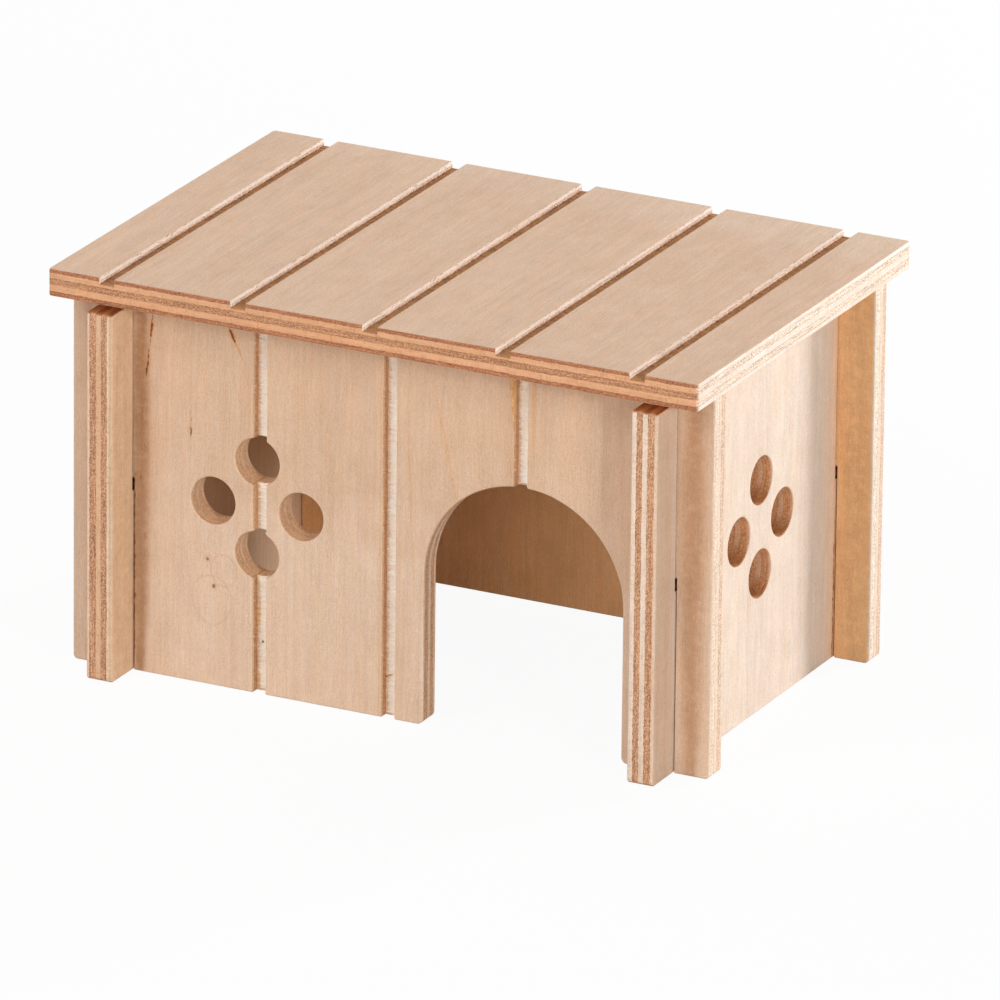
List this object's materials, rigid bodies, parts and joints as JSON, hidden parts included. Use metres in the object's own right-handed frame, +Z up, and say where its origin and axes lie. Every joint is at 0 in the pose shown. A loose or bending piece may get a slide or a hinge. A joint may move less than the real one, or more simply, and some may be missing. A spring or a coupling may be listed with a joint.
{
  "type": "wooden hamster house",
  "caption": "Small plywood hamster house: slotted-together walls, an arched doorway, round vent holes and a flat plank-grooved roof that lifts off.",
  "frame": {"origin": "middle of the footprint, on the surface that the house stands on", "axes": "+X to the right along the front wall, +Y from the front to the back, +Z up"},
  "size_m": [0.15, 0.101, 0.0895],
  "materials": {
    "wall_plywood": "bare sanded plywood, upright grain, layered edges",
    "roof_plywood": "bare sanded plywood, grain from front to back, layered edges",
    "batten_wood": "bare planed softwood"
  },
  "bodies": {
    "walls": {"front_wall": "wall_plywood", "back_wall": "wall_plywood", "right_side_wall": "wall_plywood", "left_side_wall": "wall_plywood"},
    "roof": {"roof_board": "roof_plywood", "front_roof_batten": "batten_wood", "back_roof_batten": "batten_wood"}
  },
  "joints": [
    {"name": "roof_lift", "type": "slide", "parent": "walls", "child": "roof", "axis": [0, 0, 1], "range_m": [0, 0.1]}
  ]
}
